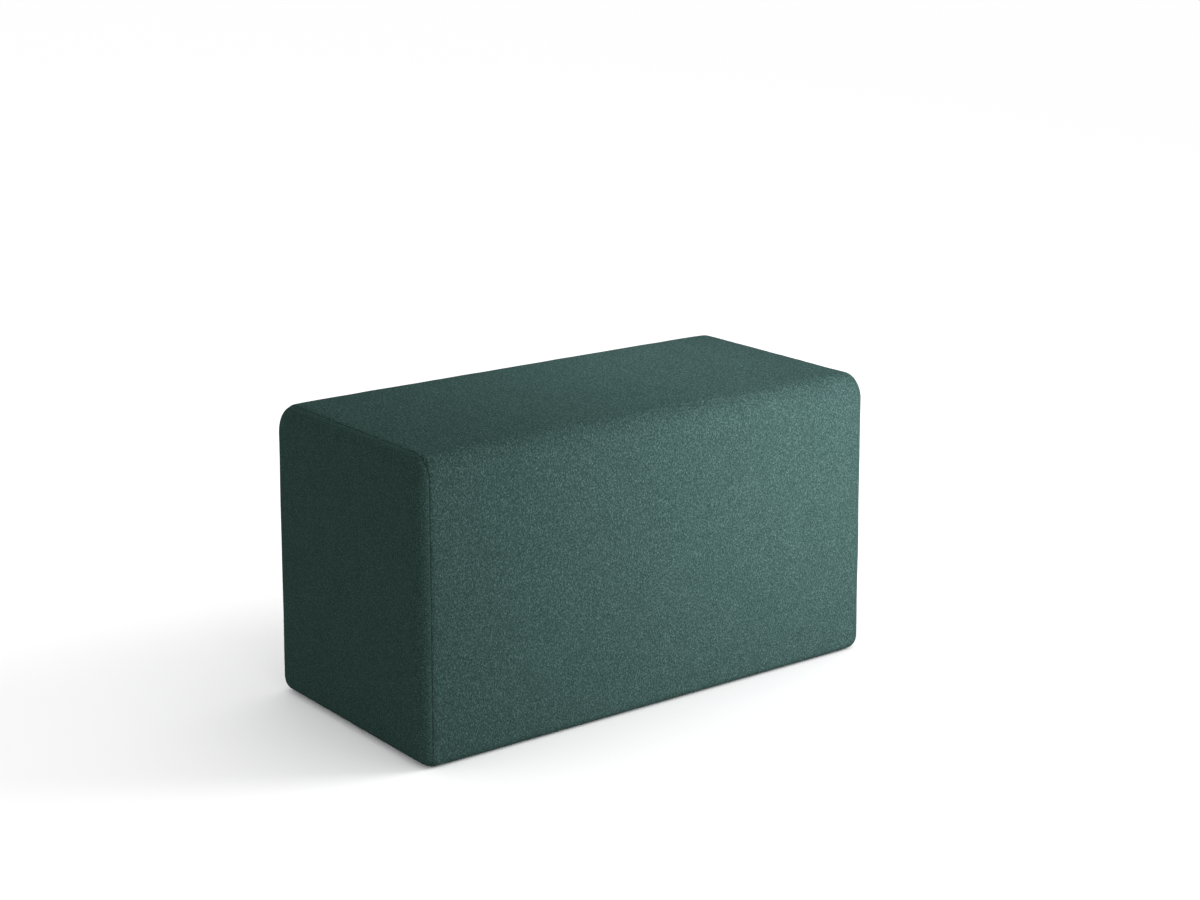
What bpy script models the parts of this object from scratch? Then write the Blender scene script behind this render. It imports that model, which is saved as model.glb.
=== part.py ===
"""Rectangular block pouf in felted cloth.

One long band of cloth wraps the filled body over the top, front, base and back. A panel of the
same cloth closes each end, and is sewn to the band all round, a little way round the end edge.

Metres, +Z up. The origin is on the floor, under the middle of the body. +X runs along the length
and -Y is the front.
"""

import math

import bmesh
import bpy
from mathutils import Vector

# The filled body, measured at its edges and before the filling crowns its faces.
LENGTH = 0.832
DEPTH = 0.399
HEIGHT = 0.450
TOP_EDGE_RADIUS = 0.034
BASE_EDGE_RADIUS = 0.014
END_EDGE_RADIUS = 0.025

# What the filling does to the cloth.
CROWN_TOP = 0.003
CROWN_SIDE = 0.005
CROWN_END = 0.005
CROWN_POWER = 3  # 2 crowns a face evenly, and more keeps its middle flatter and its edges drawn in harder
SPREAD_END = 0.002  # the base stands out this far past mid-height at each end, and the top draws in as far
SPREAD_SIDE = 0.001  # the same at the front and the back
SKIN_POWER = 4  # how quickly a face's crown fades below its surface

# The cloth, and the closed seam round each end.
PANEL_THICKNESS = 0.0025
SEAM_CLEARANCE = 0.0003
SEAM_LIP = 0.0012  # how deep each cloth's edge is rounded where it turns in to the seam
SEAM_ANGLE = math.radians(17)  # how far round the end edge the seam lies, from the band's side

# How finely the curved shapes are divided.
TOP_EDGE_STEPS = 6
BASE_EDGE_STEPS = 4
FLAT_STEPS = 5
LENGTH_STEPS = 10
BAND_TURN_STEPS = 2
PANEL_TURN_STEPS = 5
PANEL_RINGS = 4
INNERMOST_RING = 0.8  # the last ring of an end face, as a share of the way to its middle
SMOOTH_LIMIT = math.radians(35)

# The cloth's finish.
CLOTH_COLOUR = (0.052, 0.105, 0.096, 1.0)
CLOTH_ROUGHNESS = 0.95

HALF_LENGTH = LENGTH / 2
HALF_DEPTH = DEPTH / 2
HALF_HEIGHT = HEIGHT / 2
QUARTER_TURN = math.pi / 2
UNDER_PANEL = PANEL_THICKNESS + SEAM_CLEARANCE
LIP_TURN = SEAM_LIP / END_EDGE_RADIUS
PANEL_EDGE_ANGLE = SEAM_ANGLE + SEAM_CLEARANCE / (END_EDGE_RADIUS - PANEL_THICKNESS)


def clear_scene():
    """Removes every object that the file opened with."""
    for scene_object in list(bpy.data.objects):
        bpy.data.objects.remove(scene_object, do_unlink=True)


def cloth_material(name):
    """A matt felted cloth."""
    material = bpy.data.materials.new(name)
    material.use_nodes = True
    shader = material.node_tree.nodes["Principled BSDF"]
    shader.inputs["Base Color"].default_value = CLOTH_COLOUR
    shader.inputs["Roughness"].default_value = CLOTH_ROUGHNESS
    shader.inputs["Metallic"].default_value = 0.0
    return material


def swell(share):
    """How much a face crowns at a share of the way from its middle (0) to its edge (1)."""
    return max(0.0, 1 - abs(share) ** CROWN_POWER)


def filled(point):
    """Moves a point of the plain block to where the filling holds it."""
    along = point.x / HALF_LENGTH
    across = point.y / HALF_DEPTH
    up = point.z / HALF_HEIGHT - 1
    end_crown = CROWN_END * swell(across) * swell(up) * abs(along) ** SKIN_POWER
    side_crown = CROWN_SIDE * swell(along) * swell(up) * abs(across) ** SKIN_POWER
    top_crown = CROWN_TOP * swell(along) * swell(across) * max(up, 0.0) ** SKIN_POWER
    return Vector((
        point.x + math.copysign(end_crown, along) - SPREAD_END * up * along,
        point.y + math.copysign(side_crown, across) - SPREAD_SIDE * up * across,
        point.z + top_crown,
    ))


def edge_turn(side_y, side_z, radius, steps):
    """The rounded edge at one corner of the cross-section, as (y, z) points, anticlockwise."""
    centre_y = side_y * (HALF_DEPTH - radius)
    centre_z = HALF_HEIGHT + side_z * (HALF_HEIGHT - radius)
    start = {(1, 1): 0, (-1, 1): 1, (-1, -1): 2, (1, -1): 3}[side_y, side_z] * QUARTER_TURN
    angles = [start + QUARTER_TURN * step / steps for step in range(steps + 1)]
    return [(centre_y + radius * math.cos(a), centre_z + radius * math.sin(a)) for a in angles]


def cross_section():
    """The band's closed outline as (y, z) points, with its flats divided so that they can crown."""
    turns = [
        edge_turn(1, 1, TOP_EDGE_RADIUS, TOP_EDGE_STEPS),
        edge_turn(-1, 1, TOP_EDGE_RADIUS, TOP_EDGE_STEPS),
        edge_turn(-1, -1, BASE_EDGE_RADIUS, BASE_EDGE_STEPS),
        edge_turn(1, -1, BASE_EDGE_RADIUS, BASE_EDGE_STEPS),
    ]
    outline = []
    for turn, next_turn in zip(turns, turns[1:] + turns[:1]):
        outline += turn
        (y0, z0), (y1, z1) = turn[-1], next_turn[0]
        shares = [step / FLAT_STEPS for step in range(1, FLAT_STEPS)]
        outline += [(y0 + (y1 - y0) * share, z0 + (z1 - z0) * share) for share in shares]
    return outline


def ring(outline, x, inset):
    """The cross-section at x, drawn in by inset on all four sides, as the filling holds it."""
    width = 1 - inset / HALF_DEPTH
    height = 1 - inset / HALF_HEIGHT
    return [filled(Vector((x, y * width, HALF_HEIGHT + (z - HALF_HEIGHT) * height))) for y, z in outline]


def round_the_end(angle, depth):
    """The (x, inset) of a ring at an angle round the end edge, from the band's side, and a depth under its skin."""
    radius = END_EDGE_RADIUS - depth
    x = HALF_LENGTH - END_EDGE_RADIUS + radius * math.sin(angle)
    return x, END_EDGE_RADIUS - radius * math.cos(angle)


def over_the_end(start_angle, depth):
    """The (x, inset) of the rings from an angle on the end edge to near the middle of the end face."""
    step_angle = (QUARTER_TURN - start_angle) / PANEL_TURN_STEPS
    places = [round_the_end(start_angle + step_angle * step, depth) for step in range(PANEL_TURN_STEPS + 1)]
    reach = HALF_DEPTH * INNERMOST_RING - END_EDGE_RADIUS
    x = HALF_LENGTH - depth
    places += [(x, END_EDGE_RADIUS + reach * step / PANEL_RINGS) for step in range(1, PANEL_RINGS + 1)]
    return places


def band_end():
    """The (x, inset) of the filled band's rings past its straight part: its turn, its lip and the seat of the panel."""
    last_angle = SEAM_ANGLE - LIP_TURN
    turn = [round_the_end(last_angle * step / BAND_TURN_STEPS, 0.0) for step in range(1, BAND_TURN_STEPS + 1)]
    lip = [round_the_end(SEAM_ANGLE, SEAM_LIP)]
    return turn + lip + over_the_end(SEAM_ANGLE, UNDER_PANEL)


def panel_shell():
    """The (x, inset) of an end panel's rings, from its outer middle over its edge to its inner middle."""
    outside = over_the_end(PANEL_EDGE_ANGLE + LIP_TURN, 0.0)
    lip = [round_the_end(PANEL_EDGE_ANGLE, SEAM_LIP)]
    return outside[::-1] + lip + over_the_end(PANEL_EDGE_ANGLE, PANEL_THICKNESS)


def loft(name, outline, places, material):
    """One closed body through the rings at the (x, inset) places, drawn to a point in the middle of each end face."""
    mesh_maker = bmesh.new()
    rows = [[mesh_maker.verts.new(point) for point in ring(outline, x, inset)] for x, inset in places]
    count = len(outline)
    for row, next_row in zip(rows, rows[1:]):
        for i in range(count):
            j = (i + 1) % count
            mesh_maker.faces.new((row[i], row[j], next_row[j], next_row[i]))
    for row, (x, _) in ((rows[0], places[0]), (rows[-1], places[-1])):
        middle = mesh_maker.verts.new(filled(Vector((x, 0.0, HALF_HEIGHT))))
        for i in range(count):
            mesh_maker.faces.new((row[i], row[(i + 1) % count], middle))
    bmesh.ops.recalc_face_normals(mesh_maker, faces=mesh_maker.faces)
    mesh = bpy.data.meshes.new(name)
    mesh_maker.to_mesh(mesh)
    mesh_maker.free()
    mesh.shade_smooth()
    mesh.set_sharp_from_angle(angle=SMOOTH_LIMIT)
    mesh.materials.append(material)
    body = bpy.data.objects.new(name, mesh)
    bpy.context.collection.objects.link(body)
    return body


def make_wrap_band(outline, material):
    """The filled body in its wrap-around band, with a seat at each end for the panel."""
    straight = HALF_LENGTH - END_EDGE_RADIUS
    middle = [(straight * (2 * step / LENGTH_STEPS - 1), 0.0) for step in range(LENGTH_STEPS + 1)]
    right = band_end()
    left = [(-x, inset) for x, inset in reversed(right)]
    return loft("wrap_band", outline, left + middle + right, material)


def make_end_panel(outline, name, side, material):
    """The cloth panel drawn over one end; side is 1 at the +X end and -1 at the -X end."""
    return loft(name, outline, [(side * x, inset) for x, inset in panel_shell()], material)


def main():
    clear_scene()
    outline = cross_section()
    stool = bpy.data.objects.new("block_pouf", None)
    bpy.context.collection.objects.link(stool)
    pieces = [
        make_wrap_band(outline, cloth_material("band_cloth")),
        make_end_panel(outline, "end_panel_left", -1, cloth_material("left_panel_cloth")),
        make_end_panel(outline, "end_panel_right", 1, cloth_material("right_panel_cloth")),
    ]
    for piece in pieces:
        piece.parent = stool


main()
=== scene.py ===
"""Looks of the rectangular block pouf: felted cloth over a filled block, in a pale studio.

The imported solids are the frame. The cloth here follows the same block as they do, more finely
divided, and adds what solids leave out: the filling's push, the seams' puckers, the sewing and
the felt itself. Metres, +Z up, +X along the length, -Y the front.
"""

import logging
import math
from dataclasses import dataclass, field
from enum import Enum

import bmesh
import bpy
import numpy as np
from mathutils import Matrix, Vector
from mathutils.kdtree import KDTree


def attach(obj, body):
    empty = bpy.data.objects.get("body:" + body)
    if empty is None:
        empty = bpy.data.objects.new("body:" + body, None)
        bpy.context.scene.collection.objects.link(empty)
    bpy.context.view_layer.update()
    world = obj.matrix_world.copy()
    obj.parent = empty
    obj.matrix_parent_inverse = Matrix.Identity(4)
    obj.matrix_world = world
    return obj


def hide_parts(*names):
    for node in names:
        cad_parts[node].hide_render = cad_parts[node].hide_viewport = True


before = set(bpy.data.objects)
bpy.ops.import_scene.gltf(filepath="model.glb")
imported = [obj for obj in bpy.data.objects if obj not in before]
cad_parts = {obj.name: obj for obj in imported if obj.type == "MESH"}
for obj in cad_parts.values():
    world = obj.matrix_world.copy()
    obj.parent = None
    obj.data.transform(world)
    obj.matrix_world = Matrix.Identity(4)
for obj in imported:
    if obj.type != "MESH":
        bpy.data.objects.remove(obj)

Triple = tuple[float, float, float]
Colour = tuple[float, float, float, float]

LOG = logging.getLogger("block_pouf")
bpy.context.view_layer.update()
QUARTER_TURN = math.pi / 2
BODY = "root"
PHOTO_WIDTH = 1200
TINY = 1e-6  # the least length that anything is divided by
OUT_OF_REACH = 1.0  # a ring this far from the seam has no puckers
SHARP_OVER = math.radians(60)
NOISE_MIDDLE = 0.5
WHITE = (1.0, 1.0, 1.0, 1.0)
CLOTH_LIGHT = (0.98, 0.91, 1.0)  # the tint of the lights that light the cloth


class End(Enum):
    """The two ends of the pouf, each with its sign along X."""

    LEFT = -1
    RIGHT = 1


class Key(Enum):
    """A Mix node's sockets for colours, by number, because several sockets share each name."""

    FACTOR = 0
    COLOUR_A = 6
    COLOUR_B = 7
    COLOUR = 2


# ---- The block and its cloth surface ----


@dataclass(frozen=True)
class BlockForm:
    """The filled block under the cloth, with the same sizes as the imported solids."""

    length: float = 0.832
    depth: float = 0.399
    height: float = 0.450
    top_edge_radius: float = 0.034
    base_edge_radius: float = 0.014
    end_edge_radius: float = 0.025
    crown_top: float = 0.003
    crown_side: float = 0.005
    crown_end: float = 0.005
    crown_power: float = 3.0
    spread_end: float = 0.002
    spread_side: float = 0.001
    skin_power: float = 4.0

    @property
    def halves(self) -> np.ndarray:
        """Half the length, depth and height."""
        return np.array([self.length, self.depth, self.height]) / 2

    def swell(self, share: np.ndarray) -> np.ndarray:
        """How much a face crowns, from 1 at its middle to 0 at its edge."""
        return np.clip(1 - np.abs(share) ** self.crown_power, 0, None)

    def filled(self, points: np.ndarray, crown: float = 1.0) -> np.ndarray:
        """Moves points of the plain block to where the filling holds them.

        Args:
            points: Points of the block, one row each.
            crown: The share of the full crown.

        Returns:
            The moved points.
        """
        along, across, up = (points / self.halves - np.array([0, 0, 1])).T
        length_swell, depth_swell, height_swell = (self.swell(share) for share in (along, across, up))
        end = self.crown_end * depth_swell * height_swell * np.abs(along) ** self.skin_power
        side = self.crown_side * length_swell * height_swell * np.abs(across) ** self.skin_power
        top = self.crown_top * length_swell * depth_swell * np.clip(up, 0, None) ** self.skin_power
        moved = points.copy()
        moved[:, 0] += crown * np.copysign(end, along) - self.spread_end * up * along
        moved[:, 1] += crown * np.copysign(side, across) - self.spread_side * up * across
        moved[:, 2] += crown * top
        return moved

    def round_the_end(self, angle: float, depth: float) -> tuple[float, float]:
        """Where a ring lies on the end edge.

        Args:
            angle: The turn from the band's side towards the end face.
            depth: How far the ring lies under the skin.

        Returns:
            Its distance from the middle along X, and how far it is drawn in.
        """
        radius = self.end_edge_radius - depth
        x = self.length / 2 - self.end_edge_radius + radius * math.sin(angle)
        return x, self.end_edge_radius - radius * math.cos(angle)


@dataclass(frozen=True)
class Outline:
    """The block's cross-section, a closed line of (y, z) points, anticlockwise from the back.

    The steps of its turns and flats are the coarse ones, and each is divided by the fineness.
    """

    form: BlockForm
    fineness: int = 4
    top_turn: int = 20
    base_turn: int = 12
    across: int = 56
    under: int = 64
    upright: int = 72

    def turn(self, side_y: int, side_z: int, radius: float, steps: int) -> np.ndarray:
        """The rounded edge at one corner of the cross-section.

        Args:
            side_y: 1 at the back and -1 at the front.
            side_z: 1 at the top and -1 at the base.
            radius: The edge's radius.
            steps: How many pieces the turn has.

        Returns:
            Its (y, z) points, both ends included.
        """
        _, half_depth, half_height = self.form.halves
        start = {(1, 1): 0, (-1, 1): 1, (-1, -1): 2, (1, -1): 3}[side_y, side_z] * QUARTER_TURN
        angles = start + QUARTER_TURN * np.arange(steps + 1) / steps
        centre_y = side_y * (half_depth - radius)
        centre_z = half_height + side_z * (half_height - radius)
        return np.column_stack([centre_y + radius * np.cos(angles), centre_z + radius * np.sin(angles)])

    def points(self) -> np.ndarray:
        """The whole outline, finely divided.

        Returns:
            Its (y, z) points.
        """
        fine, form = self.fineness, self.form
        turns = [
            self.turn(1, 1, form.top_edge_radius, self.top_turn * fine),
            self.turn(-1, 1, form.top_edge_radius, self.top_turn * fine),
            self.turn(-1, -1, form.base_edge_radius, self.base_turn * fine),
            self.turn(1, -1, form.base_edge_radius, self.base_turn * fine),
        ]
        flats = [self.across * fine, self.upright * fine, self.under * fine, self.upright * fine]
        parts = []
        for turn, following, steps in zip(turns, turns[1:] + turns[:1], flats):
            shares = np.arange(1, steps)[:, None] / steps
            parts += [turn, turn[-1] + (following[0] - turn[-1]) * shares]
        return np.concatenate(parts)

    def corners(self) -> tuple[int, int, int, int]:
        """Where the middles of the four rounded edges are.

        Returns:
            Their coarse places in the outline: back top, front top, front base and back base.
        """
        top, base = self.top_turn, self.base_turn
        first = top // 2
        second = first + top + self.across
        third = second + top // 2 + self.upright + base // 2
        return first, second, third, third + base + self.under


@dataclass
class Filling:
    """Where the filling holds the cloth: a smaller block, pressed out by a cloth simulation.

    The simulation gives the shape of each face's swelling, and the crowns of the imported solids
    give how far it goes, measured at each face's middle. No point moves further than the cap, or
    inward by more than the draw cap. Without the simulation the crowns alone are used.
    """

    form: BlockForm
    outline: Outline
    start_crown: float = 0.7
    voxel: float = 0.006
    pressure: float = 4.0
    frames: int = 20
    cap: float = 0.005
    draw_cap: float = 0.0003
    base_height: float = 0.004
    smoothing: int = 12
    near_points: int = 6
    near_blur: float = 0.001
    straight_rows: int = 27
    turn_rows: int = 8
    face_rows: int = 8
    face_insets: tuple[float, float] = (0.035, 0.17)
    middle_share: float = 0.15
    face_share: float = 0.9
    _tree: KDTree | None = field(default=None, repr=False)
    _push: np.ndarray | None = field(default=None, repr=False)

    def _plain_body(self) -> bpy.types.Object:
        """The whole block as one closed skin, with less crown than it ends with.

        Returns:
            The skin's object.
        """
        form = self.form
        section = self.outline.points()[:: self.outline.fineness]
        straight = form.length / 2 - form.end_edge_radius
        places = [(x, 0.0) for x in np.linspace(0, straight, self.straight_rows + 1)[:-1]]
        turns = range(self.turn_rows + 1)
        places += [form.round_the_end(QUARTER_TURN * step / self.turn_rows, 0.0) for step in turns]
        places += [(form.length / 2, inset) for inset in np.linspace(*self.face_insets, self.face_rows)]
        places = [(-x, inset) for x, inset in reversed(places)] + places[1:]
        skin = ClothMesh()
        rows = [
            skin.add(form.filled(ring_points(form, section, x, inset), self.start_crown))
            for x, inset in places
        ]
        for row, following in zip(rows, rows[1:]):
            skin.bridge(row, following)
        skin.close(rows[0])
        skin.close(rows[-1])
        return skin.build("filling_trial")

    def simulate(self) -> None:
        """Presses a remeshed copy of the smaller block out from inside and keeps how far it moved."""
        scene = bpy.context.scene
        body = self._plain_body()
        remesh = body.modifiers.new("even_squares", "REMESH")
        remesh.mode, remesh.voxel_size = "VOXEL", self.voxel
        body.data = bpy.data.meshes.new_from_object(
            body.evaluated_get(bpy.context.evaluated_depsgraph_get())
        )
        body.modifiers.clear()
        start = read_points(body.data)
        held = body.vertex_groups.new(name="held_base")
        held.add([int(i) for i in np.flatnonzero(start[:, 2] < self.base_height)], 1.0, "REPLACE")
        cloth = body.modifiers.new("cloth", "CLOTH")
        cloth.settings.use_pressure = True
        cloth.settings.uniform_pressure_force = self.pressure
        cloth.settings.effector_weights.gravity = 0
        cloth.settings.vertex_group_mass = held.name
        cloth.point_cache.frame_start, cloth.point_cache.frame_end = 1, self.frames
        for step in range(1, self.frames + 1):
            scene.frame_set(step)
        pressed = body.evaluated_get(bpy.context.evaluated_depsgraph_get()).to_mesh()
        moved = read_points(pressed) - start
        edges = np.empty(len(body.data.edges) * 2, np.int32)
        body.data.edges.foreach_get("vertices", edges)
        moved = self._even_out(moved, edges.reshape(-1, 2))
        self._push = self._to_crown(start, moved)
        self._tree = KDTree(len(start))
        for index, point in enumerate(start):
            self._tree.insert(point, index)
        self._tree.balance()
        scene.frame_set(1)
        mesh = body.data
        bpy.data.objects.remove(body)
        bpy.data.meshes.remove(mesh)

    def _even_out(self, moved: np.ndarray, edges: np.ndarray) -> np.ndarray:
        """Averages each point's movement with its neighbours', a few times over.

        Args:
            moved: Each point's movement.
            edges: The pairs of neighbouring points.

        Returns:
            The smoother movements.
        """
        count = np.bincount(edges.ravel(), minlength=len(moved))[:, None]
        for _ in range(self.smoothing):
            total = np.zeros_like(moved)
            np.add.at(total, edges[:, 0], moved[edges[:, 1]])
            np.add.at(total, edges[:, 1], moved[edges[:, 0]])
            moved = (moved + total / np.maximum(count, 1)) / 2
        return moved

    def _to_crown(self, start: np.ndarray, moved: np.ndarray) -> np.ndarray:
        """Scales the simulated movement so that each face's middle reaches its crown.

        Args:
            start: The points before the simulation.
            moved: How far each one moved.

        Returns:
            The movements that are used, none longer than the cap, nor further inward than the draw cap.
        """
        form, halves = self.form, self.form.halves
        middle = np.array([0, 0, halves[2]])
        shares = (start - middle) / halves
        crowns = (form.crown_end, form.crown_side, form.crown_top)
        used = np.zeros_like(moved)
        for axis, crown in enumerate(crowns):
            others = [other for other in range(3) if other != axis]
            centre = (np.abs(shares[:, others]) < self.middle_share).all(1)
            centre &= shares[:, axis] > self.face_share
            reach = float(np.abs(moved[centre, axis]).mean())
            LOG.info("simulated push along axis %d: %.1f mm", axis, reach * 1000)
            side = np.sign(shares[:, axis])
            outward = side * moved[:, axis] * crown * (1 - self.start_crown) / max(reach, TINY)
            drawn = self.draw_cap * np.expm1(np.minimum(outward, 0) / self.draw_cap)
            used[:, axis] = side * (np.maximum(outward, 0) + drawn)
        size = np.linalg.norm(used, axis=1, keepdims=True)
        return used * np.minimum(1, self.cap / np.maximum(size, TINY))

    def settle(self, points: np.ndarray) -> np.ndarray:
        """Moves points of the plain block to where the cloth lies over the filling.

        Args:
            points: Points of the block, one row each.

        Returns:
            The moved points.
        """
        if self._tree is None:
            return self.form.filled(points)
        start = self.form.filled(points, self.start_crown)
        push = np.empty_like(start)
        for index, point in enumerate(start):
            found = self._tree.find_n(point, self.near_points)
            weights = np.array([1 / (distance**2 + self.near_blur**2) for _, _, distance in found])
            push[index] = weights @ self._push[[i for _, i, _ in found]] / weights.sum()
        return start + push


def read_points(mesh: bpy.types.Mesh) -> np.ndarray:
    """Reads a mesh's points.

    Args:
        mesh: The mesh.

    Returns:
        Its points, one row each.
    """
    points = np.empty(len(mesh.vertices) * 3, np.float32)
    mesh.vertices.foreach_get("co", points)
    return points.reshape(-1, 3).astype(float)


def ring_points(form: BlockForm, section: np.ndarray, x: float, inset: float) -> np.ndarray:
    """The plain block's cross-section at x, drawn in by inset on all four sides.

    Args:
        form: The block.
        section: The outline's (y, z) points.
        x: Where the ring lies along X.
        inset: How far it is drawn in.

    Returns:
        The ring's points.
    """
    _, half_depth, half_height = form.halves
    y = section[:, 0] * (1 - inset / half_depth)
    z = half_height + (section[:, 1] - half_height) * (1 - inset / half_height)
    return np.column_stack([np.full(len(section), x), y, z])


class ClothMesh:
    """Gathers rows of points and the faces between them into one mesh."""

    def __init__(self) -> None:
        """Starts with no points."""
        self._points: list[np.ndarray] = []
        self._faces: list[list[int]] = []
        self._count = 0

    def add(self, points: np.ndarray) -> np.ndarray:
        """Adds points.

        Args:
            points: The points, one row each.

        Returns:
            Their places in the mesh.
        """
        places = np.arange(self._count, self._count + len(points))
        self._points.append(points)
        self._count += len(points)
        return places

    def bridge(self, near: np.ndarray, far: np.ndarray) -> None:
        """Joins two closed rings, where one may have several points to each of the other's.

        Args:
            near: The places of the first ring's points.
            far: The places of the second ring's.
        """
        if len(near) == len(far):
            self._faces += np.column_stack([near, np.roll(near, -1), np.roll(far, -1), far]).tolist()
            return
        if len(near) > len(far):
            near, far = far, near
        times = len(far) // len(near)
        following = np.roll(near, -1)
        for step in range(times):
            a, b = far[step::times], np.roll(far, -1)[step::times]
            anchor = near if step < times // 2 else following
            self._faces += np.column_stack([anchor, b, a]).tolist()
        self._faces += np.column_stack([near, following, far[times // 2 :: times]]).tolist()

    def close(self, ring: np.ndarray) -> None:
        """Closes a ring with a fan of faces to its middle.

        Args:
            ring: The places of the ring's points.
        """
        points = np.concatenate(self._points)[ring]
        middle = self.add(points.mean(0, keepdims=True))
        self._faces += np.column_stack([ring, np.roll(ring, -1), np.repeat(middle, len(ring))]).tolist()

    def patch(self, grid: np.ndarray) -> None:
        """Fills a grid of points with four-sided faces.

        Args:
            grid: The places of the points, in rows and columns.
        """
        quads = [grid[:-1, :-1], grid[1:, :-1], grid[1:, 1:], grid[:-1, 1:]]
        self._faces += np.column_stack([corner.ravel() for corner in quads]).tolist()

    def build(self, name: str) -> bpy.types.Object:
        """Makes the object, smooth but for its sharpest edges, with its faces turned outward.

        Args:
            name: The piece's name.

        Returns:
            The piece.
        """
        mesh = bpy.data.meshes.new(name)
        mesh.from_pydata(np.concatenate(self._points).tolist(), [], self._faces)
        maker = bmesh.new()
        maker.from_mesh(mesh)
        bmesh.ops.recalc_face_normals(maker, faces=maker.faces)
        maker.to_mesh(mesh)
        maker.free()
        mesh.shade_smooth()
        mesh.set_sharp_from_angle(angle=SHARP_OVER)
        piece = bpy.data.objects.new(name, mesh)
        bpy.context.scene.collection.objects.link(piece)
        return piece


@dataclass(frozen=True)
class Row:
    """One ring of the cloth round an end.

    x is its distance from the middle, inset how far it is drawn in, angle how far its surface
    faces the end, reach how far it is from the seam along the cloth, and fine whether it has
    every point of the outline.
    """

    x: float
    inset: float
    angle: float
    reach: float
    fine: bool = False


@dataclass
class ClothSurface:
    """Puts rings of cloth in place, with the unevenness and the puckers of real cloth.

    A pull is a depth, and its reach or span is how far it carries from the seam or the corner.
    """

    form: BlockForm
    outline: Outline
    filling: Filling
    seam_angle: float = math.radians(17)
    seam_clearance: float = 0.0003
    panel_thickness: float = 0.0025
    lip: float = 0.0012
    lip_steps: int = 4
    stitch_aim: float = 0.0048
    stitch_pull: float = 0.00030
    stitch_reach: float = 0.0024
    gather_pull: float = 0.00022
    gather_reach: float = 0.011
    draw_pull: float = 0.0008
    draw_reach: float = 0.018
    corner_pull: float = 0.0011
    corner_span: float = 0.008
    corner_reach: float = 0.0042
    gather_count: int = 10
    gathers_round: tuple[int, int] = (34, 84)
    wave_count: int = 14
    wave_height: float = 0.00022
    wave_lengths: tuple[float, float] = (0.05, 0.17)
    floor_fade: float = 0.03
    under_reach: float = 0.02
    under_rows: int = 8
    inner_rows: int = 5
    inner_inset: float = 0.15
    seed: int = 7

    def __post_init__(self) -> None:
        """Measures the outline and draws the random waves."""
        self.section = self.outline.points()
        ahead, behind = np.roll(self.section, -1, 0), np.roll(self.section, 1, 0)
        tangent = (ahead - behind) / np.linalg.norm(ahead - behind, axis=1, keepdims=True)
        self.facing = np.column_stack([tangent[:, 1], -tangent[:, 0]])
        steps = np.linalg.norm(ahead - self.section, axis=1)
        self.perimeter = float(steps.sum())
        self.run = np.concatenate([[0.0], np.cumsum(steps)[:-1]])
        self.stitches = round(self.perimeter / self.stitch_aim)
        draw = np.random.default_rng(self.seed)
        directions = draw.normal(size=(self.wave_count, 3))
        directions /= np.linalg.norm(directions, axis=1, keepdims=True)
        lengths = draw.uniform(*self.wave_lengths, self.wave_count)
        self._waves = directions * (math.tau / lengths)[:, None]
        self._wave_starts = draw.uniform(0, math.tau, self.wave_count)
        counts = draw.integers(*self.gathers_round, self.gather_count)
        self._gathers = {
            end: (counts + shift, draw.uniform(0, math.tau, self.gather_count))
            for shift, end in enumerate(End)
        }

    @property
    def lip_turn(self) -> float:
        """How far round the end edge a lip is rounded."""
        return self.lip / self.form.end_edge_radius

    def unevenness(self, points: np.ndarray) -> np.ndarray:
        """How far the cloth stands out or in at points, in long soft waves."""
        waves = np.sin(points @ self._waves.T + self._wave_starts).sum(1)
        return self.wave_height * waves / math.sqrt(self.wave_count)

    def pull(self, end: End, reach: float, count: int) -> np.ndarray:
        """How far the sewing draws the cloth in, round one ring.

        Args:
            end: The end that the ring is at.
            reach: How far the ring is from the seam.
            count: How many points it has.

        Returns:
            The depth at each point.
        """
        run = self.run[:: len(self.run) // count]
        turns = math.tau * run / self.perimeter
        counts, starts = self._gathers[end]
        gather = np.cos(turns[:, None] * counts + starts).sum(1) / math.sqrt(len(counts))
        stitch = 0.5 + 0.5 * np.cos(turns * self.stitches)
        depth = self.gather_pull * (0.5 + 0.5 * gather) * math.exp(-reach / self.gather_reach)
        depth += self.draw_pull * math.exp(-reach / self.draw_reach)
        back_top, front_top, _, _ = self.outline.corners()
        for corner in (back_top, front_top):
            away = (run - self.run[corner * self.outline.fineness]) / self.corner_span
            depth += self.corner_pull * np.exp(-(away**2)) * math.exp(-((reach / self.corner_reach) ** 2))
        return depth + self.stitch_pull * stitch * math.exp(-((reach / self.stitch_reach) ** 2))

    def on_row(self, points: np.ndarray, row: Row) -> np.ndarray:
        """Those of the outline's points that a ring has."""
        return points[:: 1 if row.fine else self.outline.fineness]

    def normals(self, end: End, row: Row) -> np.ndarray:
        """The way the cloth faces round one ring.

        Args:
            end: The end that the ring is at.
            row: The ring.

        Returns:
            A direction for each of its points.
        """
        facing = self.on_row(self.facing, row)
        outward = np.full(len(facing), end.value * math.sin(row.angle))
        return np.column_stack([outward, facing * math.cos(row.angle)])

    def place(self, end: End, row: Row) -> np.ndarray:
        """Where one ring of cloth lies.

        Args:
            end: The end that the ring is at.
            row: The ring.

        Returns:
            Its points.
        """
        section = self.on_row(self.section, row)
        points = ring_points(self.form, section, end.value * row.x, row.inset)
        return self.lay(points, self.normals(end, row), self.pull(end, row.reach, len(section)))

    def lay(self, points: np.ndarray, normals: np.ndarray, depth: np.ndarray | float = 0.0) -> np.ndarray:
        """Settles points on the filling, uneven along their normals, and keeps the base flat.

        Args:
            points: Points of the plain block.
            normals: The way each one faces.
            depth: How far each is drawn in.

        Returns:
            The moved points.
        """
        off_floor = np.clip(points[:, 2] / self.floor_fade, 0, 1)
        offset = self.unevenness(points) * off_floor - depth
        settled = self.filling.settle(points) + normals * np.reshape(offset, (-1, 1))
        settled[:, 2] = np.maximum(settled[:, 2], 0.0)
        return settled

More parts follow.
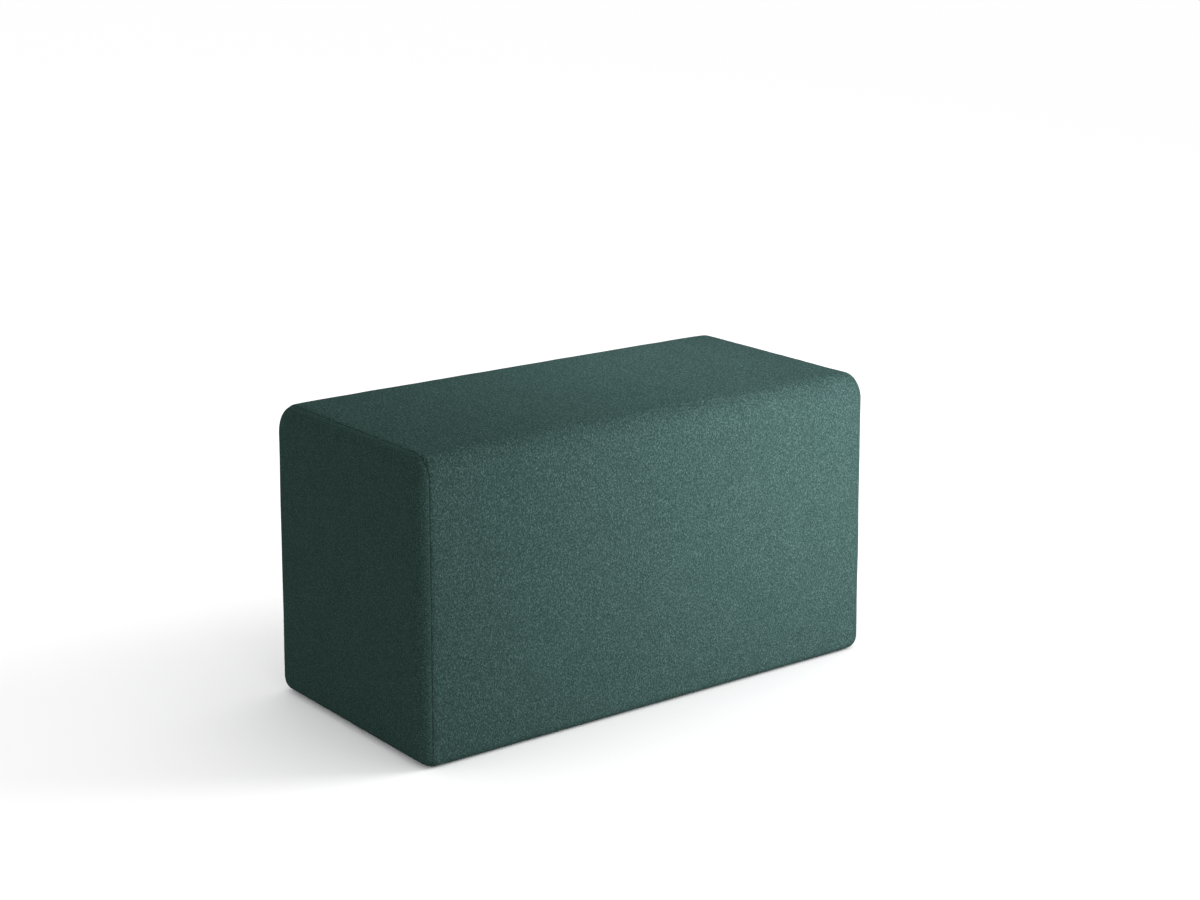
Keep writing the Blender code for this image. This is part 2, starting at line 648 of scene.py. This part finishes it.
    def row(self, angle: float, depth: float, reach: float, fine: bool = True) -> Row:
        """The ring at an angle round the end edge and a depth under the skin."""
        return Row(*self.form.round_the_end(angle, depth), angle, reach, fine)

    def skin_rows(self, start: float, stop: float, count: int, seam: float, fine: bool) -> list[Row]:
        """The rings of one stretch of the cloth's surface round the end edge.

        Args:
            start: The angle of the first ring.
            stop: The angle that the rings stop one step short of.
            count: How many rings there are.
            seam: The angle of the seam.
            fine: Whether they have every point of the outline.

        Returns:
            The rings.
        """
        angles = [start + (stop - start) * step / count for step in range(count)]
        radius = self.form.end_edge_radius
        return [self.row(angle, 0.0, abs(angle - seam) * radius, fine) for angle in angles]

    def lip_rows(self, seam: float, sense: int) -> list[Row]:
        """The rings of the rounded edge where a cloth turns in to the seam.

        Args:
            seam: The angle at which the cloth goes down into the seam.
            sense: 1 where the cloth comes from the band's side, -1 from the end face's.

        Returns:
            The rings, from the cloth's surface down.
        """
        rows = []
        for step in range(self.lip_steps + 1):
            share = QUARTER_TURN * step / self.lip_steps
            away = 1 - math.sin(share)
            depth = self.lip * (1 - math.cos(share))
            rows.append(self.row(seam - sense * self.lip_turn * away, depth, self.lip * away))
        return rows

    def hidden_rows(self, seam: float, depth: float) -> list[Row]:
        """The rings below the skin, from the foot of the seam to near the middle of the end.

        Args:
            seam: The angle at which the cloth goes down into the seam.
            depth: How far they lie under the skin.

        Returns:
            The rings.
        """
        form = self.form
        rows = [self.row(seam, depth, self.under_reach)]
        for step in range(1, self.under_rows + 1):
            angle = seam + (QUARTER_TURN - seam) * step / self.under_rows
            rows.append(self.row(angle, depth, OUT_OF_REACH, False))
        x = form.length / 2 - depth
        insets = np.linspace(form.end_edge_radius, self.inner_inset, self.inner_rows + 1)[1:]
        return rows + [Row(x, inset, QUARTER_TURN, OUT_OF_REACH) for inset in insets]


# ---- Shader wiring ----


class Socket:
    """What a shader node gives. Sums on values are written as Python sums."""

    def __init__(self, graph: "Graph", out: bpy.types.NodeSocket) -> None:
        """Keeps an output socket.

        Args:
            graph: The node graph that it belongs to.
            out: The output socket.
        """
        self.graph = graph
        self.out = out

    def _math(self, operation: str, first: "Wire", second: "Wire") -> "Socket":
        """One Math node on two values."""
        return self.graph.node("ShaderNodeMath", {"operation": operation}, {0: first, 1: second})

    def __add__(self, other: "Wire") -> "Socket":
        """The sum of two values."""
        return self._math("ADD", self, other)

    def __radd__(self, other: "Wire") -> "Socket":
        """The sum of two values."""
        return self._math("ADD", other, self)

    def __sub__(self, other: "Wire") -> "Socket":
        """The difference of two values."""
        return self._math("SUBTRACT", self, other)

    def __rsub__(self, other: "Wire") -> "Socket":
        """The difference of two values."""
        return self._math("SUBTRACT", other, self)

    def __mul__(self, other: "Wire") -> "Socket":
        """The product of two values."""
        return self._math("MULTIPLY", self, other)

    def __rmul__(self, other: "Wire") -> "Socket":
        """The product of two values."""
        return self._math("MULTIPLY", other, self)

    def at_least(self, other: "Wire") -> "Socket":
        """The larger of two values."""
        return self._math("MAXIMUM", self, other)


Wire = Socket | float | tuple


@dataclass(frozen=True)
class Noise:
    """A layer of soft noise: how fine and how broken up it is, and how far it swings a value."""

    scale: float
    detail: float
    roughness: float
    swing: float


class Graph:
    """A material's nodes, made one at a time from a type, its settings and its inputs."""

    def __init__(self, name: str) -> None:
        """Starts a material that has its shader and output alone.

        Args:
            name: The material's name.
        """
        self.material = bpy.data.materials.new(name)
        self.material.use_nodes = True
        self.tree = self.material.node_tree
        self.shader = self.tree.nodes["Principled BSDF"]

    def set_input(self, socket: bpy.types.NodeSocket, value: "Wire") -> None:
        """Links or sets one input.

        Args:
            socket: The input.
            value: A socket to link, or a value to set.
        """
        if isinstance(value, Socket):
            self.tree.links.new(value.out, socket)
        else:
            socket.default_value = value

    def node(
        self,
        kind: str,
        settings: dict[str, object] | None = None,
        inputs: dict[str | int, "Wire"] | None = None,
        output: str | int = 0,
    ) -> Socket:
        """Adds a node.

        Args:
            kind: The node's type.
            settings: Its settings, which are set first.
            inputs: The values or links of its inputs, by name or number.
            output: The output that is wanted.

        Returns:
            That output.
        """
        made = self.tree.nodes.new(kind)
        for name, value in (settings or {}).items():
            setattr(made, name, value)
        for name, value in (inputs or {}).items():
            self.set_input(made.inputs[name], value)
        return Socket(self, made.outputs[output])

    def mix(self, factor: "Wire", first: "Wire", second: "Wire") -> Socket:
        """The first colour where the factor is 0, and the second where it is 1."""
        inputs = {Key.FACTOR.value: factor, Key.COLOUR_A.value: first, Key.COLOUR_B.value: second}
        return self.node("ShaderNodeMix", {"data_type": "RGBA"}, inputs, Key.COLOUR.value)

    def noise(self, place: Socket, layer: Noise) -> Socket:
        """A layer of noise over the places, from 0 to 1."""
        inputs = {"Vector": place, "Scale": layer.scale}
        inputs |= {"Detail": layer.detail, "Roughness": layer.roughness}
        return self.node("ShaderNodeTexNoise", {}, inputs)

    def finish(self, inputs: dict[str, "Wire"], piece: bpy.types.Object) -> None:
        """Sets the shader's inputs and gives the material to a piece.

        Args:
            inputs: The shader's values and links.
            piece: The piece that wears the material.
        """
        for name, value in inputs.items():
            self.set_input(self.shader.inputs[name], value)
        piece.data.materials.clear()
        piece.data.materials.append(self.material)


@dataclass(frozen=True)
class Cut:
    """How a piece was cut from the cloth: where in its pattern, and how its flecks are drawn out."""

    offset: Triple
    stretch: Triple

    def at(self, end: End) -> "Cut":
        """The same cut, but from that end's side of the pattern."""
        return Cut((end.value * self.offset[0], *self.offset[1:]), self.stretch)


@dataclass(frozen=True)
class FeltFinish:
    """Felted wool cloth: a dark teal green, flecked by lighter and darker fibres.

    The lay turns the flecks' pattern out of line with the faces, and each fibre turn is one way
    that the finest fibres lie. The fleck is how strong the whole pattern is.
    """

    colour: Colour = (0.0150, 0.0319, 0.0271, 1.0)
    pale_fibre: Colour = (0.0846, 0.1393, 0.1293, 1.0)
    deep_fibre: Colour = (0.0008, 0.0018, 0.0016, 1.0)
    grain: Noise = Noise(510.0, 2.0, 0.6, 1.9)
    speck: Noise = Noise(1150.0, 1.0, 0.5, 1.5)
    fibre: Noise = Noise(2100.0, 1.0, 0.5, 1.1)
    mottle: Noise = Noise(24.0, 3.0, 0.55, 0.12)
    fleck: float = 0.75
    lay: Triple = (0.62, 0.47, 0.81)
    fibre_length: float = 11.8
    fibre_turns: tuple[Triple, ...] = (
        (0.3, 0.2, 0.5), (1.1, 0.9, -0.4), (0.5, -1.2, 1.3), (-0.8, 0.6, 2.2)
    )
    grain_depth: float = 0.00085
    fibre_depth: float = 0.00012
    roughness: float = 0.93
    roughness_swing: float = 0.12
    sheen: float = 0.02
    sheen_roughness: float = 0.30
    sheen_tint: Colour = (0.49, 1.0, 0.96, 1.0)

    def _fibres(self, graph: Graph, place: Socket, turn: Triple) -> Socket:
        """Fine fibres that all lie one way.

        Args:
            graph: The material's nodes.
            place: Where the cloth is.
            turn: Which way the fibres lie, as an Euler turn.

        Returns:
            Their height, from 0 to 1.
        """
        inputs = {"Vector": place, "Rotation": turn, "Scale": (self.fibre_length, 1.0, 1.0)}
        turned = graph.node("ShaderNodeMapping", {"vector_type": "TEXTURE"}, inputs)
        return graph.noise(turned, self.fibre)

    def dress(self, piece: bpy.types.Object, cut: Cut) -> None:
        """Gives a piece this cloth.

        Args:
            piece: The piece.
            cut: Where and which way of the cloth it was cut.
        """
        graph = Graph(f"felt_{piece.name}")
        place = graph.node("ShaderNodeTexCoord", {}, {}, "Object")
        inputs = {"Vector": place, "Location": cut.offset, "Rotation": self.lay, "Scale": cut.stretch}
        laid = graph.node("ShaderNodeMapping", {}, inputs)
        layers = (self.grain, self.speck, self.mottle)
        grain, speck, mottle = (graph.noise(laid, layer) for layer in layers)
        first, *others = (self._fibres(graph, place, turn) for turn in self.fibre_turns)
        tangle = sum(others, first) * (1 / len(self.fibre_turns))

        tone = (
            (grain - NOISE_MIDDLE) * self.grain.swing + (speck - NOISE_MIDDLE) * self.speck.swing
            + (tangle - NOISE_MIDDLE) * self.fibre.swing + (mottle - NOISE_MIDDLE) * self.mottle.swing
        ) * self.fleck
        pale = tone.at_least(0.0)
        deep = (tone * -1.0).at_least(0.0)
        colour = graph.mix(pale, self.colour, self.pale_fibre)
        colour = graph.mix(deep, colour, self.deep_fibre)

        inputs = {"Height": grain, "Distance": self.grain_depth, "Strength": 1.0}
        coarse = graph.node("ShaderNodeBump", {}, inputs)
        inputs = {"Height": tangle, "Distance": self.fibre_depth, "Strength": 1.0, "Normal": coarse}
        bumped = graph.node("ShaderNodeBump", {}, inputs)
        graph.finish(
            {
                "Base Color": colour,
                "Roughness": (grain - NOISE_MIDDLE) * self.roughness_swing + self.roughness,
                "Normal": bumped,
                "Sheen Weight": self.sheen,
                "Sheen Roughness": self.sheen_roughness,
                "Sheen Tint": self.sheen_tint,
                "Specular IOR Level": 0.0,
            },
            piece,
        )


@dataclass(frozen=True)
class ThreadFinish:
    """Sewing thread, a shade deeper than the cloth, with the fine grain of its plies."""

    colour: Colour = (0.0120, 0.0240, 0.0210, 1.0)
    pale: Colour = (0.0240, 0.0470, 0.0420, 1.0)
    ply: Noise = Noise(3200.0, 1.0, 0.5, 0.2)
    ply_depth: float = 0.00005
    ply_strength: float = 0.8
    roughness: float = 0.62
    gloss: float = 0.1

    def dress(self, piece: bpy.types.Object) -> None:
        """Gives a piece the look of this thread.

        Args:
            piece: The piece.
        """
        graph = Graph(f"thread_{piece.name}")
        ply = graph.noise(graph.node("ShaderNodeTexCoord", {}, {}, "Object"), self.ply)
        inputs = {"Height": ply, "Distance": self.ply_depth, "Strength": self.ply_strength}
        graph.finish(
            {
                "Base Color": graph.mix(ply, self.colour, self.pale),
                "Roughness": self.roughness + (ply - NOISE_MIDDLE) * self.ply.swing,
                "Normal": graph.node("ShaderNodeBump", {}, inputs),
                "Specular IOR Level": self.gloss,
            },
            piece,
        )


# ---- The pieces ----


@dataclass
class FilledBand:
    """The wrap band over its filling: top, front, base and back in one strip."""

    surface: ClothSurface
    finish: FeltFinish
    straight_rows: int = 70
    turn_rows: int = 5
    fill: float = 0.95
    cut: Cut = Cut((0.31, 0.17, 0.05), (0.95, 0.48, 0.70))

    def _end_rows(self) -> list[Row]:
        """The rings from the middle of the band to the middle of one end.

        Returns:
            The rings.
        """
        surface, form = self.surface, self.surface.form
        radius, seam = form.end_edge_radius, surface.seam_angle
        straight = form.length / 2 - radius
        rows = [
            Row(x, 0.0, 0.0, seam * radius + straight - x)
            for x in np.linspace(0, straight, self.straight_rows + 1)[:-1]
        ]
        rows += surface.skin_rows(0.0, seam - surface.lip_turn, self.turn_rows, seam, True)
        rows += surface.lip_rows(seam, 1)
        return rows + surface.hidden_rows(seam, surface.panel_thickness + surface.seam_clearance)

    def build(self) -> bpy.types.Object:
        """Makes the band.

        Returns:
            The piece.
        """
        mesh, rows = ClothMesh(), self._end_rows()
        rings = [mesh.add(self.surface.place(End.LEFT, row)) for row in reversed(rows)]
        rings += [mesh.add(self.surface.place(End.RIGHT, row)) for row in rows[1:]]
        for ring, following in zip(rings, rings[1:]):
            mesh.bridge(ring, following)
        mesh.close(rings[0])
        mesh.close(rings[-1])
        piece = mesh.build("filled_band")
        self.finish.dress(piece, self.cut)
        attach(piece, BODY)
        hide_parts("wrap_band")
        return piece


@dataclass
class EndPanel:
    """One cloth panel, drawn over an end of the filled block and sewn in all round."""

    surface: ClothSurface
    finish: FeltFinish
    end: End
    turn_rows: int = 8
    margin_rows: int = 5
    margin: float = 0.0062
    flat_size: tuple[float, float] = (0.413, 0.464)
    cut: Cut = Cut((0.9, 0.43, 0.21), (1.0, 1.30, 1.05))

    @property
    def name(self) -> str:
        """The piece's name."""
        return f"end_panel_cloth_{self.end.name.lower()}"

    def _face(self, mesh: ClothMesh, ring: np.ndarray, row: Row) -> None:
        """Fills the end face inside a ring with an even grid.

        Args:
            mesh: The mesh that gets the grid.
            ring: The places of the ring's points.
            row: The ring.
        """
        surface, outline = self.surface, self.surface.outline
        section = surface.section[:: outline.fineness]
        edge = ring_points(surface.form, section, self.end.value * row.x, row.inset)
        first, second, third, fourth = outline.corners()
        count = len(edge)
        wide, tall = second - first, third - second
        top = np.arange(first, second + 1) % count
        front = np.arange(second, third + 1) % count
        base = np.arange(fourth, third - 1, -1) % count
        back = np.arange(first, first - tall - 1, -1) % count
        u = (np.arange(wide + 1) / wide)[:, None, None]
        v = (np.arange(tall + 1) / tall)[None, :, None]
        corners = edge[[top[0], top[-1], base[0], base[-1]]]
        grid = (
            (1 - v) * edge[top][:, None] + v * edge[base][:, None]
            + (1 - u) * edge[back][None] + u * edge[front][None]
            - (1 - u) * (1 - v) * corners[0] - u * (1 - v) * corners[1]
            - (1 - u) * v * corners[2] - u * v * corners[3]
        )
        inner = grid[1:-1, 1:-1].reshape(-1, 3)
        normals = np.tile([float(self.end.value), 0.0, 0.0], (len(inner), 1))
        places = np.empty((wide + 1, tall + 1), int)
        places[:, 0], places[:, -1] = ring[top], ring[base]
        places[0, :], places[-1, :] = ring[back], ring[front]
        places[1:-1, 1:-1] = mesh.add(surface.lay(inner, normals)).reshape(wide - 1, tall - 1)
        mesh.patch(places)

    def _rows(self) -> list[Row]:
        """The rings from the edge of the outer face, over the sewn edge, to the inner middle.

        Returns:
            The rings.
        """
        surface, radius = self.surface, self.surface.form.end_edge_radius
        seam = surface.seam_angle + surface.seam_clearance / (radius - surface.panel_thickness)
        lip = seam + surface.lip_turn
        margin = lip + self.margin / radius
        rows = surface.skin_rows(QUARTER_TURN, margin, self.turn_rows, seam, False)
        rows += surface.skin_rows(margin, lip, self.margin_rows, seam, True)
        rows += surface.lip_rows(seam, -1)
        return rows + surface.hidden_rows(seam, surface.panel_thickness)

    def build(self, band: bpy.types.Object) -> bpy.types.Object:
        """Makes the panel.

        Args:
            band: The filled band that the panel is drawn over. It is not used.

        Returns:
            The piece.
        """
        mesh, rows = ClothMesh(), self._rows()
        rings = [mesh.add(self.surface.place(self.end, row)) for row in rows]
        self._face(mesh, rings[0], rows[0])
        for ring, following in zip(rings, rings[1:]):
            mesh.bridge(ring, following)
        mesh.close(rings[-1])
        piece = mesh.build(self.name)
        self.finish.dress(piece, self.cut.at(self.end))
        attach(piece, BODY)
        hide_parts(f"end_panel_{self.end.name.lower()}")
        return piece


@dataclass
class SeamThread:
    """The line of stitches in the groove of one end seam."""

    surface: ClothSurface
    finish: ThreadFinish
    end: End
    radius: float = 0.00028
    depth: float = 0.00064
    rise: float = 0.00020
    sides: int = 5

    def build(self) -> bpy.types.Object:
        """Makes the thread.

        Returns:
            The piece.
        """
        surface = self.surface
        angle = surface.seam_angle + surface.seam_clearance / 2 / surface.form.end_edge_radius
        row = surface.row(angle, self.depth, 0.0)
        facing = surface.normals(self.end, row)
        turns = math.tau * surface.run / surface.perimeter
        rise = self.rise * np.cos(turns * surface.stitches)
        path = surface.place(self.end, row) - facing * rise[:, None]
        along = np.roll(path, -1, 0) - np.roll(path, 1, 0)
        along /= np.linalg.norm(along, axis=1, keepdims=True)
        across = np.cross(along, facing)
        across /= np.linalg.norm(across, axis=1, keepdims=True)
        mesh = ClothMesh()
        rings = []
        for side in range(self.sides):
            turn = math.tau * side / self.sides
            offset = across * math.cos(turn) + np.cross(across, along) * math.sin(turn)
            rings.append(mesh.add(path + offset * self.radius))
        for ring, following in zip(rings, rings[1:] + rings[:1]):
            mesh.bridge(ring, following)
        piece = mesh.build(f"seam_thread_{self.end.name.lower()}")
        self.finish.dress(piece)
        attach(piece, BODY)
        return piece


# ---- The studio ----


@dataclass(frozen=True)
class SoftBox:
    """A large soft light: where it is, what it faces, its size and its power in watts."""

    name: str
    place: Triple
    target: Triple
    size: tuple[float, float]
    power: float
    colour: Triple = (1.0, 1.0, 1.0)

    def build(self, lit: bpy.types.Collection) -> bpy.types.Object:
        """Makes the light.

        Args:
            lit: The objects that it lights.

        Returns:
            The light's object.
        """
        lamp = bpy.data.lights.new(self.name, "AREA")
        lamp.shape = "RECTANGLE"
        lamp.size, lamp.size_y = self.size
        lamp.energy, lamp.color = self.power, self.colour
        light = bpy.data.objects.new(self.name, lamp)
        light.location = self.place
        aim = Vector(self.target) - Vector(self.place)
        light.rotation_euler = aim.to_track_quat("-Z", "Y").to_euler()
        light.light_linking.receiver_collection = lit
        bpy.context.scene.collection.objects.link(light)
        return light


@dataclass(frozen=True)
class Studio:
    """A pale floor and plain soft light.

    The pouf's lights and the floor's are apart, so that the floor shows one soft shadow.
    """

    floor_size: float = 120.0
    floor_colour: Colour = (0.92, 0.92, 0.92, 1.0)
    floor_glow: float = 0.055
    sky: float = 1.02
    lights: tuple[SoftBox, ...] = (
        SoftBox("key_front_right", (0.4, -0.75, 0.45), (0.05, -0.1, 0.25), (0.84, 0.84), 25.5, CLOTH_LIGHT),
        SoftBox("fill_above", (0.26, 0.12, 0.93), (0.05, 0.0, 0.4), (0.25, 0.25), 4.4, CLOTH_LIGHT),
    )
    floor_light: SoftBox = SoftBox("floor_light", (3.0, -1.5, 1.6), (0.0, -0.3, 0.0), (1.6, 1.6), 100.0)

    def build(self, pieces: list[bpy.types.Object]) -> None:
        """Makes the floor, the even surrounding light and the lights.

        Args:
            pieces: The pieces that the lights light.
        """
        scene = bpy.context.scene
        half = self.floor_size / 2
        mesh = bpy.data.meshes.new("studio_floor")
        corners = [(-half, -half, 0), (half, -half, 0), (half, half, 0), (-half, half, 0)]
        mesh.from_pydata(corners, [], [(0, 1, 2, 3)])
        floor = bpy.data.objects.new("studio_floor", mesh)
        scene.collection.objects.link(floor)
        Graph("pale_floor").finish(
            {
                "Base Color": self.floor_colour,
                "Roughness": 1.0,
                "Specular IOR Level": 0.0,
                "Emission Color": WHITE,
                "Emission Strength": self.floor_glow,
            },
            floor,
        )
        world = bpy.data.worlds.new("studio_light")
        world.use_nodes = True
        backdrop = world.node_tree.nodes["Background"]
        backdrop.inputs["Color"].default_value = WHITE
        backdrop.inputs["Strength"].default_value = self.sky
        scene.world = world
        scene.view_settings.view_transform = "Standard"
        lit_pieces = bpy.data.collections.new("lit_pieces")
        lit_floor = bpy.data.collections.new("lit_floor")
        for piece in pieces:
            lit_pieces.objects.link(piece)
        lit_floor.objects.link(floor)
        for light in self.lights:
            light.build(lit_pieces)
        self.floor_light.build(lit_floor)


@dataclass(frozen=True)
class Camera:
    """The camera at the photograph's angle, in degrees, with the view's shift in pixels."""

    lens: float = 68.406
    sensor: float = 36.0
    azimuth: float = -37.263
    elevation: float = 14.017
    distance: float = 3.4787
    target: Triple = (0.0423, 0.0, 0.4235)
    shift: float = -50.0
    sight: float = 200.0

    def build(self) -> None:
        """Makes the camera and gives it to the scene."""
        turn, rise = math.radians(self.azimuth), math.radians(self.elevation)
        level = math.cos(rise)
        back = Vector((math.sin(turn) * level, -math.cos(turn) * level, math.sin(rise)))
        lens = bpy.data.cameras.new("photo_camera")
        lens.lens, lens.sensor_width, lens.clip_end = self.lens, self.sensor, self.sight
        lens.shift_y = self.shift / PHOTO_WIDTH
        camera = bpy.data.objects.new("photo_camera", lens)
        camera.location = Vector(self.target) + back * self.distance
        camera.rotation_euler = back.to_track_quat("Z", "Y").to_euler()
        bpy.context.scene.collection.objects.link(camera)
        bpy.context.scene.camera = camera


def report(piece: bpy.types.Object) -> None:
    """Logs a piece's name, its triangles and its size.

    Args:
        piece: The piece.
    """
    piece.data.calc_loop_triangles()
    size = [round(side * 1000, 1) for side in piece.dimensions]
    LOG.info("%s: %d triangles, %s mm", piece.name, len(piece.data.loop_triangles), size)


def main() -> None:
    """Builds the pouf, the studio and the camera."""
    logging.basicConfig(level=logging.INFO, format="%(name)s: %(message)s")
    form = BlockForm()
    outline = Outline(form)
    filling = Filling(form, outline)
    filling.simulate()
    surface = ClothSurface(form, outline, filling)
    felt, thread = FeltFinish(), ThreadFinish()
    pieces = [FilledBand(surface, felt).build()]
    for end in End:
        pieces.append(EndPanel(surface, felt, end).build(pieces[0]))
        pieces.append(SeamThread(surface, thread, end).build())
    for piece in pieces:
        report(piece)
    Studio().build(pieces)
    Camera().build()


if __name__ == "__main__":
    main()
